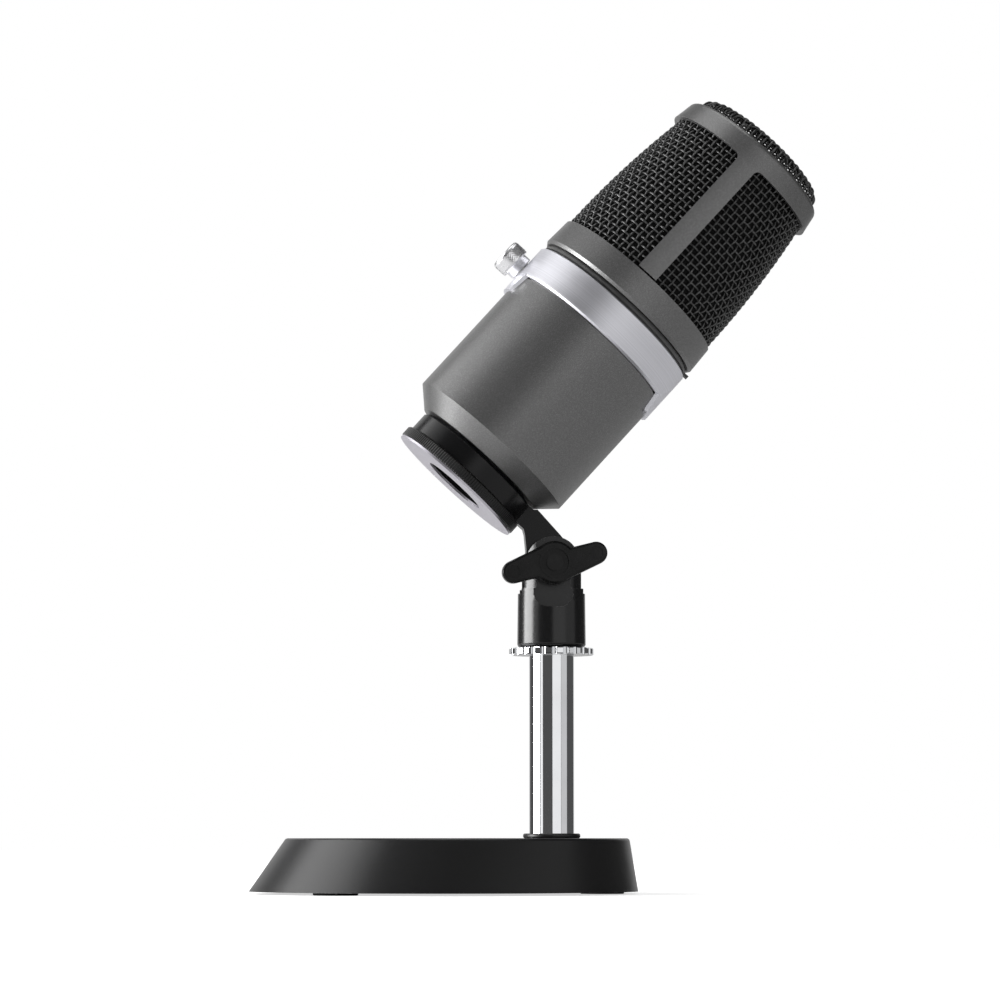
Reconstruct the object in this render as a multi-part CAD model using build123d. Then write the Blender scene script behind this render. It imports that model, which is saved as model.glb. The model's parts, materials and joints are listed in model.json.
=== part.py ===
from build123d import *

import os
from math import cos, radians, sin, sqrt

# A side-address desktop microphone on a table stand. Millimetres, +Z up, the table at Z = 0.
# The pole stands on the X axis; the base reaches out towards -X, in front of the pole, and the
# microphone leans back towards +X. The wing knob faces -Y.

# ---------------------------------------------------------------- driving dimensions

POLE_X = 5.95              # the pole's axis, so that the origin is under the middle of the whole

# Base
FOOT_R = 7.85
FEET_CIRCLE_R = 56.5
FEET_ANGLES = (0, 134, 226)  # about the base's middle; one foot is behind the pole
RIM_Z = 0.9
BASE_TOP_Z = 19.7
BASE_BOTTOM_R, BASE_BOTTOM_X = 69.1, -38.5
BASE_TOP_R, BASE_TOP_X = 61.0, -33.5
BASE_WALL = 3.0
BASE_EDGE_R = 1.2
PLATE_R, PLATE_T = 62.2, 3.0
PLATE_SCREW_CIRCLE_R = 46.0
PLATE_SCREW_ANGLES = (45, 135, 225, 315)
PLATE_BOTTOM = RIM_Z + 0.5

# Pole
TUBE_R, TUBE_BORE_R = 8.0, 6.5
TUBE_TOP_Z = 84.8
COLLAR_R, COLLAR_T = 10.2, 1.7
STUD_R = 7.94
STUD_TOP_Z = 98.0
BOLT_R = 4.0

# Lock ring
LOCK_R = 15.1
LOCK_BOTTOM_Z, LOCK_TOP_Z = 84.85, 87.3
LOCK_SCALLOPS = 24
LOCK_SCALLOP_R = 0.95

# Clevis and hinge
HINGE_Z = 117.0
CLEVIS_BOTTOM_Z = 87.5
CLEVIS_BOTTOM_R, CLEVIS_SHOULDER_R = 12.25, 12.0
SHOULDER_Z = 108.4
EAR_R, EAR_FOOT_R = 9.8, 11.1
EAR_FLAT_Y = 9.5
FORK_HALF_GAP = 4.7
FORK_FLOOR_Z = HINGE_Z - 10.3
FLAT_HALF_WIDTH, FLAT_BOTTOM_Z, FLAT_CORNER_R = 7.1, 101.7, 5.2
INSERT_R, INSERT_TOP_Z = 9.8, 98.6
HINGE_BOLT_R = 3.0
RUNNING_GAP = 0.05
NUT_ACROSS, NUT_T = 10.0, 4.6

# Wing knob
KNOB_TURN = 13.2           # degrees, the end on the +X side is the higher one
KNOB_HUB_R = 7.6
KNOB_NEAR_Y, KNOB_FAR_Y = -9.75, -18.3
KNOB_RIM_R, KNOB_DISH_R, KNOB_BUTTON_R = 5.5, 4.9, 3.0
WING_REACH, WING_TIP_R, WING_ROOT_R, WING_OFFSET = 15.1, 4.0, 5.6, 1.8
WING_NEAR_Y, WING_FAR_Y = -12.6, -17.6
WING_DIMPLE_R = 2.3

# Microphone: heights along its own axis from the clamp nut's face, radii about it
TILT = 42.3                # degrees from upright, towards +X
HINGE_RADIUS, HINGE_HEIGHT = 44.84, 1.71
NUT_R, NUT_BOTTOM, NUT_FACE_TOP, NUT_TOP = 26.3, -0.6, 0.2, 4.0
NUT_HOLE_R = 11.9
NUT_HUB_R, NUT_HUB_BORE_R, NUT_HUB_TOP = 18.5, 14.0, 10.4
RING_R, RING_BORE_R = 25.1, 20.8
RING_BOTTOM, RING_TOP = 4.3, 11.8
ARM_HALF_THICKNESS, ARM_EYE_R = 3.85, 9.6
NECK_R, NECK_BORE_R = 20.5, 18.55
NECK_FLANGE_R, NECK_FLANGE_T = 24.0, 2.4
SOCKET_PLATE_BOTTOM, SOCKET_PLATE_T = 10.8, 1.6
SHELL_BOTTOM, SHELL_FOOT_R = 12.4, 26.5
SHELL_CHAMFER_TOP, SHELL_R = 18.8, 33.2
SHELL_WALL, SHELL_FLOOR = 2.2, 2.6
SHELL_TOP, SPIGOT_R, SPIGOT_TOP = 70.5, 32.4, 86.1
BAND_BOTTOM, BAND_TOP, BAND_R = 71.1, 83.6, 34.5
BAND_LOW_CHAMFER, BAND_TOP_CHAMFER = 0.7, 0.3
TAB_TOP_HALF_WIDTH, TAB_LOW_HALF_WIDTH, TAB_BOTTOM, TAB_CORNER_R = 13.2, 10.0, 63.6, 2.6
GASKET_SLEEVE_R, GASKET_R = 32.75, 33.5
GASKET_BEAD_BOTTOM, GASKET_BEAD_TOP = 84.5, 85.4
LUG_R, LUG_HALF_WIDTH = 35.5, 1.6
COLLAR_BOTTOM, COLLAR_TOP = 86.3, 97.1
COLLAR_LOW_R, COLLAR_HIGH_R = 34.8, 34.3
COLLAR_CHAMFER = 1.1
COLUMN_BOTTOM, WINDOW_TOP, CAP_TOP = 97.8, 152.1, 160.4
FRAME_LOW_R, FRAME_MIDDLE_R, FRAME_HIGH_R, CAP_TOP_R = 34.3, 33.6, 31.2, 29.8
CAP_EDGE_R = 1.9
COLUMN_WIDTH = 8.1
WINDOW_CORNER_R = 2.0
BARREL_HEIGHT, BARREL_R, BARREL_CURVE_R = 99.0, 33.6, 329.0  # where the mesh is widest
MESH_T = 0.9
MESH_BOTTOM, MESH_TOP = 93.0, 154.2
DOME_R, DOME_TOP, DOME_EDGE_R = 27.3, 168.1, 3.6
DOME_SLOPE = 13.0          # degrees, where the crown meets the rounded edge

# Volume knob: on the front, its axis square to the microphone's
VOLUME_HEIGHT = 73.5
VOLUME_R, VOLUME_NECK_R = 6.0, 5.3
VOLUME_NEAR, VOLUME_NECK_FAR, VOLUME_FAR = 34.8, 38.0, 43.3
VOLUME_SHAFT_R, VOLUME_HOLE_R = 3.0, 4.05
VOLUME_RIBS = 36

# Capsule
CAPSULE_HEIGHT = 128.0
CAPSULE_R, CAPSULE_DEPTH = 13.0, 9.0

# Inside the body
PRESS_GAP = 0.02           # between parts that are pressed or glued together
NECK_SCREW_ANGLES, NECK_SCREW_CIRCLE_R = (30, 150, 270), 22.3
JACK_PLACE, USB_PLACE = (0, 6.0), (0, -4.5)
USB_HALF_LONG, USB_HALF_SHORT = 4.8, 1.95
JACK_BORE_R, JACK_DEPTH = 1.8, 12.0
BOARD_HOLES = [(y, z) for y in (-24.0, 24.0) for z in (28.0, 76.0)]
CHASSIS_TOP = 86.0
LEAD_R, LEAD_X, LEAD_TOP = 0.6, 7.4, CAPSULE_HEIGHT - 6.0

# ---------------------------------------------------------------- places

at_pole = Pos(POLE_X, 0, 0)
at_hinge = Pos(POLE_X, 0, HINGE_Z)
face_centre = (
    POLE_X - HINGE_RADIUS * cos(radians(TILT)) - HINGE_HEIGHT * sin(radians(TILT)),
    0,
    HINGE_Z + HINGE_RADIUS * sin(radians(TILT)) - HINGE_HEIGHT * cos(radians(TILT)),
)
in_microphone = Pos(*face_centre) * Rot(0, TILT, 0)


# ---------------------------------------------------------------- shapes that repeat

def turned(*points):
    """A solid of revolution about Z from (radius, height) points."""
    return revolve(Plane.XZ * make_face(Polyline(*points, close=True)), axis=Axis.Z)


def tube(outer, inner, bottom, top):
    """A straight tube or washer about Z."""
    return turned((inner, bottom), (outer, bottom), (outer, top), (inner, top))


def rod(radius, bottom, top):
    """A plain round bar along Z."""
    return Pos(0, 0, (bottom + top) / 2) * Cylinder(radius, top - bottom)


def block(x, y, z):
    """A box from three (low, high) pairs."""
    middle = [(low + high) / 2 for low, high in (x, y, z)]
    return Pos(*middle) * Box(x[1] - x[0], y[1] - y[0], z[1] - z[0])


def along_y(solid):
    """Turns a solid drawn along Z so that its Z runs along -Y."""
    return Rot(90, 0, 0) * solid


def rims(solid, least_radius):
    """A solid's circular edges that are wider than a radius."""
    circles = solid.edges().filter_by(GeomType.CIRCLE)
    return circles.filter_by(lambda edge: edge.radius > least_radius)


def round_place(radius, angle):
    """A point on a circle about Z."""
    return Pos(radius * cos(radians(angle)), radius * sin(radians(angle)), 0)


def group(solids):
    """Separate solids that share a node."""
    return Compound(children=list(solids))


# ---------------------------------------------------------------- stand

def slanted_cone(bottom_r, bottom_x, bottom_z, top_r, top_x, top_z):
    low = Pos(bottom_x, 0, bottom_z) * Circle(bottom_r)
    high = Pos(top_x, 0, top_z) * Circle(top_r)
    return loft([low, high])


def base_casting():
    outside = slanted_cone(
        BASE_BOTTOM_R, BASE_BOTTOM_X, RIM_Z, BASE_TOP_R, BASE_TOP_X, BASE_TOP_Z
    )
    outside = fillet(outside.edges().sort_by(Axis.Z)[-1], BASE_EDGE_R)
    hollow = slanted_cone(
        BASE_BOTTOM_R - BASE_WALL, BASE_BOTTOM_X, RIM_Z,
        BASE_TOP_R - BASE_WALL, BASE_TOP_X, BASE_TOP_Z - BASE_WALL,
    )
    body = outside - hollow
    plate_top = PLATE_BOTTOM + PLATE_T
    body += rod(13.0, 10.4, BASE_TOP_Z - 1.0)
    for angle in PLATE_SCREW_ANGLES:
        boss = Pos(BASE_BOTTOM_X, 0, 0) * round_place(PLATE_SCREW_CIRCLE_R, angle)
        body += boss * rod(4.5, plate_top, BASE_TOP_Z - 1.0)
        body -= boss * rod(1.5, plate_top, plate_top + 9.0)
    return body - rod(BOLT_R + 0.3, RIM_Z, BASE_TOP_Z)


def base_plate():
    low = PLATE_BOTTOM
    plate = Pos(BASE_BOTTOM_X, 0, 0) * rod(PLATE_R, low, low + PLATE_T)
    for angle in PLATE_SCREW_ANGLES:
        spot = Pos(BASE_BOTTOM_X, 0, 0) * round_place(PLATE_SCREW_CIRCLE_R, angle)
        plate -= spot * rod(1.7, low, low + PLATE_T)
        plate -= spot * rod(3.3, low, low + 1.6)
    return plate


def base_plate_screws():
    low = PLATE_BOTTOM + 0.1
    screw = rod(3.2, low, low + 1.5) + rod(1.45, low + 1.5, low + 9.0)
    screw -= rod(1.1, low, low + 0.9)
    spots = [round_place(PLATE_SCREW_CIRCLE_R, angle) for angle in PLATE_SCREW_ANGLES]
    return group(Pos(BASE_BOTTOM_X, 0, 0) * spot * screw for spot in spots)


def rubber_feet():
    foot = fillet(rod(FOOT_R, 0, PLATE_BOTTOM).edges().sort_by(Axis.Z)[0], 0.4)
    spots = [round_place(FEET_CIRCLE_R, angle) for angle in FEET_ANGLES]
    return group(Pos(BASE_BOTTOM_X, 0, 0) * spot * foot for spot in spots)


def pole_foot_ring():
    ring = tube(COLLAR_R, TUBE_R + 0.02, BASE_TOP_Z, BASE_TOP_Z + COLLAR_T)
    return fillet(rims(ring, TUBE_R + 1), COLLAR_T * 0.4)


def pole_tube():
    return tube(TUBE_R, TUBE_BORE_R, BASE_TOP_Z, TUBE_TOP_Z)


def pole_foot_plug():
    plug = rod(TUBE_BORE_R - PRESS_GAP, BASE_TOP_Z, BASE_TOP_Z + 16.0)
    return plug - rod(BOLT_R, BASE_TOP_Z, BASE_TOP_Z + 13.0)


def pole_washer():
    return tube(8.5, BOLT_R + 0.3, 9.0, 10.4)


def pole_bolt():
    head = rod(6.5, 5.0, 9.0) - extrude(Pos(0, 0, 5.0) * RegularPolygon(2.9, 6), 2.5)
    return head + rod(BOLT_R, 9.0, BASE_TOP_Z + 12.0)


def pole_stud():
    plug = rod(TUBE_BORE_R - PRESS_GAP, TUBE_TOP_Z - 16.0, TUBE_TOP_Z)
    threaded = rod(STUD_R, TUBE_TOP_Z, STUD_TOP_Z)
    threaded = chamfer(threaded.edges().sort_by(Axis.Z)[-1], 0.9)
    return plug + threaded


def lock_ring():
    ring = tube(LOCK_R, STUD_R + RUNNING_GAP, LOCK_BOTTOM_Z, LOCK_TOP_Z)
    ring = chamfer(rims(ring, LOCK_R - 1), 0.35)
    cutter = rod(LOCK_SCALLOP_R, LOCK_BOTTOM_Z - 1, LOCK_TOP_Z + 1)
    for i in range(LOCK_SCALLOPS):
        ring -= round_place(LOCK_R + 0.25, 360 / LOCK_SCALLOPS * i) * cutter
    return ring


# ---------------------------------------------------------------- hinge

def clevis():
    body = turned(
        (0, CLEVIS_BOTTOM_Z), (CLEVIS_BOTTOM_R, CLEVIS_BOTTOM_Z),
        (CLEVIS_SHOULDER_R, SHOULDER_Z), (0, SHOULDER_Z),
    )
    body = fillet(body.edges().sort_by(Axis.Z)[0], 1.4)
    ear_side = Plane.XZ * make_hull(
        (
            Pos(0, HINGE_Z) * Circle(EAR_R)
            + Pos(0, SHOULDER_Z + 0.5) * Rectangle(2 * EAR_FOOT_R, 1.0)
        ).edges()
    )
    ears = extrude(ear_side, 2 * EAR_FLAT_Y, both=True)
    ears &= rod(EAR_FOOT_R + 0.2, SHOULDER_Z, HINGE_Z + EAR_R)
    ears &= block((-20, 20), (-EAR_FLAT_Y, EAR_FLAT_Y), (SHOULDER_Z, HINGE_Z + EAR_R))
    body += ears
    flat = Pos(0, FLAT_BOTTOM_Z + 14) * Rectangle(2 * FLAT_HALF_WIDTH, 28)
    flat_side = Plane.XZ * fillet(flat.vertices().sort_by(Axis.Y)[:2], FLAT_CORNER_R)
    for side in (-1, 1):
        body -= Pos(0, side * (EAR_FLAT_Y + 10), 0) * extrude(flat_side, 10, both=True)
    body -= block((-20, 20), (-FORK_HALF_GAP, FORK_HALF_GAP), (FORK_FLOOR_Z, HINGE_Z + 20))
    body -= rod(INSERT_R, CLEVIS_BOTTOM_Z, INSERT_TOP_Z + 1.2)
    body -= Pos(0, 0, HINGE_Z) * along_y(rod(HINGE_BOLT_R + RUNNING_GAP, -20, 20))
    pocket = extrude(RegularPolygon(NUT_ACROSS / 2 + 0.05, 6, major_radius=False), 8)
    return body - Pos(0, EAR_FLAT_Y - 2.6, HINGE_Z) * Rot(-90, 0, 0) * pocket


def clevis_insert():
    return tube(INSERT_R, STUD_R + RUNNING_GAP, CLEVIS_BOTTOM_Z + 0.2, INSERT_TOP_Z)


def hinge_nut():
    nut = extrude(RegularPolygon(NUT_ACROSS / 2, 6, major_radius=False), NUT_T)
    nut -= rod(HINGE_BOLT_R + RUNNING_GAP, 0, NUT_T)
    return Pos(0, EAR_FLAT_Y - 2.55, 0) * Rot(-90, 0, 0) * nut


def friction_washers():
    washer = along_y(tube(8.6, HINGE_BOLT_R + 0.2, 3.9, 4.65))
    return group(side * washer for side in (Rot(0, 0, 0), Rot(0, 0, 180)))


def wing_knob():
    tips = [Pos(side * WING_REACH, 0) for side in (-1, 1)]
    roots = [Pos(0, -side * WING_OFFSET) for side in (-1, 1)]
    knob = rod(KNOB_HUB_R, -KNOB_NEAR_Y, -WING_FAR_Y)
    knob = chamfer(rims(knob, 1).sort_by(Axis.Z)[-1], 0.8)
    for tip, root in zip(tips, roots):
        outline = make_hull((root * Circle(WING_ROOT_R) + tip * Circle(WING_TIP_R)).edges())
        wing = extrude(Pos(0, 0, -WING_NEAR_Y) * outline, WING_NEAR_Y - WING_FAR_Y)
        knob += fillet(wing.edges().filter_by(Plane.XY), 1.0)
    knob += rod(KNOB_RIM_R, -WING_FAR_Y - 1, -KNOB_FAR_Y)
    knob -= tube(KNOB_DISH_R, KNOB_BUTTON_R, -KNOB_FAR_Y - 1.0, -KNOB_FAR_Y)
    knob -= rod(HINGE_BOLT_R, -KNOB_NEAR_Y, 15.0)
    for tip in tips:
        knob -= tip * rod(WING_DIMPLE_R, -WING_FAR_Y - 0.4, -WING_FAR_Y + 1)
    return Rot(0, -KNOB_TURN, 0) * along_y(knob)


def hinge_bolt():
    return along_y(chamfer(rod(HINGE_BOLT_R, -12.6, 15.0).edges().sort_by(Axis.Z)[0], 0.5))


# ---------------------------------------------------------------- arm

def support_arm():
    ring = tube(RING_R, RING_BORE_R, RING_BOTTOM, RING_TOP)
    ring = chamfer(rims(ring, RING_BORE_R + 1).sort_by(Axis.Z)[-1], 1.0)
    side = Plane.XZ * make_face(
        Polyline(
            (22.6, RING_BOTTOM), (28.6, RING_BOTTOM), (30.3, 3.2), (34.5, -0.6), (36.9, -3.6),
            (HINGE_RADIUS, HINGE_HEIGHT), (43.0, 11.1), (39.7, 11.6), (27.7, 12.8), (26.6, RING_TOP),
            (22.6, RING_TOP), close=True,
        )
    )
    arm = extrude(side, ARM_HALF_THICKNESS, both=True)
    arm += Pos(HINGE_RADIUS, 0, HINGE_HEIGHT) * along_y(
        rod(ARM_EYE_R, -ARM_HALF_THICKNESS, ARM_HALF_THICKNESS)
    )
    arm = arm - rod(RING_BORE_R, RING_BOTTOM - 20, RING_TOP + 5) + ring
    bolt_hole = along_y(rod(HINGE_BOLT_R + RUNNING_GAP, -5, 5))
    return arm - Pos(HINGE_RADIUS, 0, HINGE_HEIGHT) * bolt_hole


# ---------------------------------------------------------------- clamp nut

def clamp_nut():
    disc = tube(NUT_R, NUT_HOLE_R + 0.6, NUT_FACE_TOP, NUT_TOP)
    disc = chamfer(rims(disc, NUT_R - 1), 0.4)
    return disc + tube(NUT_HUB_R, NUT_HUB_BORE_R, NUT_TOP - 0.5, NUT_HUB_TOP)


def nut_face_plate():
    return tube(NUT_R - 0.3, NUT_HOLE_R, NUT_BOTTOM, NUT_FACE_TOP)


# ---------------------------------------------------------------- microphone body

def threaded_neck():
    tube_part = tube(NECK_R, NECK_BORE_R, RING_BOTTOM + 0.1, SHELL_BOTTOM + SHELL_FLOOR)
    low = SHELL_BOTTOM + SHELL_FLOOR
    flange = tube(NECK_FLANGE_R, NECK_BORE_R, low, low + NECK_FLANGE_T)
    neck = tube_part + flange
    for angle in NECK_SCREW_ANGLES:
        neck -= round_place(NECK_SCREW_CIRCLE_R, angle) * rod(1.05, low, low + NECK_FLANGE_T)
    return neck


def neck_screws():
    low = SHELL_BOTTOM + SHELL_FLOOR
    screw = rod(1.0, low - 1.9, low + NECK_FLANGE_T) + rod(1.6, low + NECK_FLANGE_T, low + 3.8)
    return group(round_place(NECK_SCREW_CIRCLE_R, angle) * screw for angle in NECK_SCREW_ANGLES)


def usb_slot(grow):
    outline = Rectangle(2 * (USB_HALF_SHORT + grow), 2 * (USB_HALF_LONG + grow))
    return Pos(*USB_PLACE, 0) * fillet(outline.vertices(), USB_HALF_SHORT + grow - 0.05)


def connector_plate():
    low = SOCKET_PLATE_BOTTOM
    plate = rod(NECK_BORE_R - 0.05, low, low + SOCKET_PLATE_T)
    plate -= Pos(*JACK_PLACE, 0) * rod(3.05, low, low + SOCKET_PLATE_T)
    return plate - extrude(Pos(0, 0, low) * usb_slot(0.05), SOCKET_PLATE_T)


def headphone_jack():
    low = SOCKET_PLATE_BOTTOM - 0.4
    jack = rod(3.0, low, low + 3.0) + rod(4.0, low + 3.0, low + JACK_DEPTH + 1.2)
    return Pos(*JACK_PLACE, 0) * (jack - rod(JACK_BORE_R, low, low + JACK_DEPTH))


def usb_socket():
    low = SOCKET_PLATE_BOTTOM - 0.2
    shell = extrude(Pos(0, 0, low) * usb_slot(0), 7.4)
    shell -= extrude(Pos(0, 0, low) * usb_slot(-0.35), 6.2)
    tongue = Pos(*USB_PLACE, low + 4.0) * Box(0.8, 6.6, 5.2)
    return shell + tongue


def socket_board():
    low = SOCKET_PLATE_BOTTOM + 3.6
    board = rod(NECK_BORE_R - 1.2, low, low + 1.2)
    board -= Pos(*JACK_PLACE, 0) * rod(4.1, low, low + 1.2)
    return board - extrude(Pos(0, 0, low) * usb_slot(0.1), 1.2)


def body_shell():
    inside_r, neck_hole_r = SHELL_R - SHELL_WALL, NECK_R + 0.05
    floor_top = SHELL_BOTTOM + SHELL_FLOOR
    shell = turned(
        (neck_hole_r, SHELL_BOTTOM), (SHELL_FOOT_R, SHELL_BOTTOM),
        (SHELL_R, SHELL_CHAMFER_TOP), (SHELL_R, SHELL_TOP),
        (SPIGOT_R, SHELL_TOP), (SPIGOT_R, SPIGOT_TOP),
        (SPIGOT_R - 1.6, SPIGOT_TOP), (SPIGOT_R - 1.6, SHELL_TOP - 1.5),
        (inside_r, SHELL_TOP - 2.5), (inside_r, SHELL_CHAMFER_TOP + 1.6),
        (SHELL_FOOT_R - 0.4, floor_top), (neck_hole_r, floor_top),
    )
    shell -= Pos(0, 0, VOLUME_HEIGHT) * Rot(0, -90, 0) * rod(VOLUME_HOLE_R, 20, 40)
    for angle in NECK_SCREW_ANGLES:
        hole = round_place(NECK_SCREW_CIRCLE_R, angle)
        shell -= hole * rod(1.05, SHELL_BOTTOM + 0.6, floor_top + 0.4)
    return shell


def chassis():
    low, shelf_low = SHELL_BOTTOM + 5.8, SHELL_BOTTOM + 6.6
    disc = tube(SPIGOT_R - 1.9, 12.0, CHASSIS_TOP - 2.5, CHASSIS_TOP)
    rails = [
        block((-3, 3), (side * 26 - 2, side * 26 + 2), (low, CHASSIS_TOP - 2)) for side in (-1, 1)
    ]
    shelf = block((-3, 3), (-26, 26), (shelf_low, shelf_low + 2.5))
    frame = disc + rails + shelf - rod(NECK_BORE_R - 1.0, 15, 25)
    for y, z in BOARD_HOLES:
        frame -= Pos(0, y, z) * Rot(0, 90, 0) * rod(1.05, -0.3, 3.0)
    return frame


def main_board():
    board = block((3.2, 4.8), (-25, 25), (24, 80))
    for y, z in BOARD_HOLES:
        board -= Pos(4, y, z) * Rot(0, 90, 0) * Cylinder(1.1, 4)
    fitted = [
        block((4.8, 7.2), (-12, 0), (36, 48)),
        block((4.8, 6.6), (6, 14), (52, 60)),
        block((4.8, 9.8), (6, 11), (34, 39)),
        block((4.8, 9.8), (-6, -1), (62, 67)),
    ]
    return board + fitted


def board_screws():
    screw = Rot(0, 90, 0) * (rod(1.0, 0, 4.8) + rod(1.8, 4.8, 6.2))
    return group(Pos(0, y, z) * screw for y, z in BOARD_HOLES)


def curved_tab(inner, outer):
    """The tab that hangs from the band at the back, narrower and rounded at its lower end."""
    top = BAND_BOTTOM + 1.0
    outline = make_face(
        Polyline(
            (-TAB_TOP_HALF_WIDTH, top), (-TAB_LOW_HALF_WIDTH, TAB_BOTTOM),
            (TAB_LOW_HALF_WIDTH, TAB_BOTTOM), (TAB_TOP_HALF_WIDTH, top), close=True,
        )
    )
    corners = outline.vertices().sort_by(Axis.Y)[:2]
    column = extrude(Plane.YZ * fillet(corners, TAB_CORNER_R), 40, both=True)
    return column & tube(outer, inner, TAB_BOTTOM - 1, top)


def trim_band():
    band = tube(BAND_R, SPIGOT_R + PRESS_GAP, BAND_BOTTOM, BAND_TOP)
    band = chamfer(rims(band, SPIGOT_R + 1).sort_by(Axis.Z)[0], BAND_LOW_CHAMFER)
    band = chamfer(rims(band, BAND_R - 0.1).sort_by(Axis.Z)[-1], BAND_TOP_CHAMFER)
    band += curved_tab(SHELL_R + PRESS_GAP, BAND_R)
    return band - Pos(0, 0, VOLUME_HEIGHT) * Rot(0, -90, 0) * rod(VOLUME_HOLE_R, 20, 40)


def gasket_ring():
    bore = SPIGOT_R + PRESS_GAP
    ring = tube(GASKET_SLEEVE_R, bore, BAND_TOP + 0.1, SPIGOT_TOP)
    ring += tube(GASKET_R, bore, GASKET_BEAD_BOTTOM, GASKET_BEAD_TOP)
    height = (GASKET_BEAD_BOTTOM - 0.2, GASKET_BEAD_TOP)
    return ring + block((GASKET_R - 0.6, LUG_R), (-LUG_HALF_WIDTH, LUG_HALF_WIDTH), height)


def barrel_radius(height):
    """Outer radius of the woven side mesh, which bulges like a barrel."""
    drop = BARREL_CURVE_R - sqrt(BARREL_CURVE_R**2 - (height - BARREL_HEIGHT) ** 2)
    return BARREL_R - drop


def barrel_arc(bottom, top, offset):
    """The mesh's outline between two heights, moved outwards by an offset."""
    heights = (bottom, (bottom + top) / 2, top)
    return ThreePointArc(*[(barrel_radius(h) + offset, h) for h in heights])


def barrel_sleeve(bottom, top, outer, inner):
    """A thin sleeve that follows the mesh, between two offsets from it."""
    face = barrel_arc(bottom, top, outer)
    back = barrel_arc(bottom, top, inner)
    ends = [Line(face @ end, back @ end) for end in (0, 1)]
    return revolve(Plane.XZ * make_face([face, back, *ends]), axis=Axis.Z)


def grille_base_ring():
    pocket_r, inside_r = BARREL_R + 0.05, SPIGOT_R - 2.2
    ledge = MESH_BOTTOM - 0.4
    return turned(
        (pocket_r, COLLAR_TOP), (pocket_r, ledge), (inside_r, ledge), (inside_r, COLLAR_BOTTOM),
        (COLLAR_LOW_R - 0.8, COLLAR_BOTTOM), (COLLAR_LOW_R, COLLAR_BOTTOM + COLLAR_CHAMFER),
        (COLLAR_HIGH_R, COLLAR_TOP),
    )


def grille_frame():
    skin_top = WINDOW_TOP + 2.4
    middle = (COLUMN_BOTTOM + WINDOW_TOP) / 2
    face = ThreePointArc(
        (FRAME_LOW_R, COLUMN_BOTTOM), (FRAME_MIDDLE_R, middle), (FRAME_HIGH_R, WINDOW_TOP)
    )
    back = barrel_arc(COLUMN_BOTTOM, skin_top, 0.05)
    rest = Polyline(
        face @ 1, (CAP_TOP_R, CAP_TOP), (DOME_R + 0.1, CAP_TOP), (DOME_R + 0.1, skin_top), back @ 1
    )
    frame = revolve(
        Plane.XZ * make_face([face, rest, back, Line(back @ 0, face @ 0)]), axis=Axis.Z
    )
    frame = fillet(rims(frame, DOME_R + 1).sort_by(Axis.Z)[-1], CAP_EDGE_R)
    for side in (-1, 1):
        near, far = side * COLUMN_WIDTH / 2, side * 45
        window = make_face(
            Polyline((near, 90), (near, WINDOW_TOP), (far, WINDOW_TOP), (far, 90), close=True)
        )
        corner = window.vertices().sort_by_distance((near, WINDOW_TOP, 0))[0]
        frame -= extrude(Plane.XZ * fillet(corner, WINDOW_CORNER_R), 45, both=True)
    return frame


def side_mesh():
    return barrel_sleeve(MESH_BOTTOM, MESH_TOP, 0, -MESH_T)


def dome(radius, bottom, top, edge_r):
    """A solid drum with a rounded upper edge and a shallow crown."""
    slope = radians(DOME_SLOPE)
    crown_start = radius - edge_r * (1 - sin(slope))
    crown_rise = crown_start * (1 - cos(slope)) / sin(slope)
    side = Line((radius, bottom), (radius, top - crown_rise - edge_r * cos(slope)))
    corner = JernArc(side @ 1, side % 1, edge_r, 90 - DOME_SLOPE)
    crown = TangentArc(corner @ 1, (0, top), tangent=corner % 1)
    rest = Polyline((0, top), (0, bottom), (radius, bottom))
    return revolve(Plane.XZ * make_face([side, corner, crown, rest]), axis=Axis.Z)


def top_mesh():
    low = WINDOW_TOP + 4.2
    return dome(DOME_R, low, DOME_TOP, DOME_EDGE_R) - dome(
        DOME_R - MESH_T, low - 1, DOME_TOP - MESH_T, DOME_EDGE_R - 0.9
    )


def mesh_retainer():
    return tube(DOME_R - MESH_T - 0.1, DOME_R - 3.4, MESH_TOP + 0.3, MESH_TOP + 4.5)


def foam_liner():
    return barrel_sleeve(MESH_BOTTOM, MESH_TOP - 1.2, -MESH_T - 0.3, -MESH_T - 2.9)


def capsule_body():
    half = CAPSULE_DEPTH / 2
    drum = rod(CAPSULE_R, -half, half)
    drum -= rod(CAPSULE_R - 1.6, half - 1.2, half)
    return Pos(0, 0, CAPSULE_HEIGHT) * Rot(0, -90, 0) * drum


def capsule_diaphragm():
    half = CAPSULE_DEPTH / 2
    disc = rod(CAPSULE_R - 1.65, half - 1.2, half - 1.0)
    return Pos(0, 0, CAPSULE_HEIGHT) * Rot(0, -90, 0) * disc


def capsule_clamp_ring():
    half = CAPSULE_DEPTH / 2
    ring = tube(CAPSULE_R - 1.65, CAPSULE_R - 3.2, half - 1.0, half)
    return Pos(0, 0, CAPSULE_HEIGHT) * Rot(0, -90, 0) * ring


def capsule_mount():
    ring = tube(CAPSULE_R + 2.4, CAPSULE_R + PRESS_GAP, -3.4, 3.4)
    ring = Pos(0, 0, CAPSULE_HEIGHT) * Rot(0, -90, 0) * ring
    stem = block((-3.4, 3.4), (-6, 6), (CHASSIS_TOP + 2.8, CAPSULE_HEIGHT - CAPSULE_R - 1.6))
    foot = block((-6, 6), (-15, 15), (CHASSIS_TOP, CHASSIS_TOP + 3.0))
    return foot + stem + ring


def capsule_leads():
    back = CAPSULE_DEPTH / 2
    lead = rod(LEAD_R, 67.4, LEAD_TOP) + Pos(0, 0, LEAD_TOP) * Sphere(LEAD_R)
    lead += Pos(back - LEAD_X, 0, LEAD_TOP) * Rot(0, 90, 0) * rod(LEAD_R, 0, LEAD_X - back)
    return group(Pos(LEAD_X, y, 0) * lead for y in (4.0, -4.0))


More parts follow.
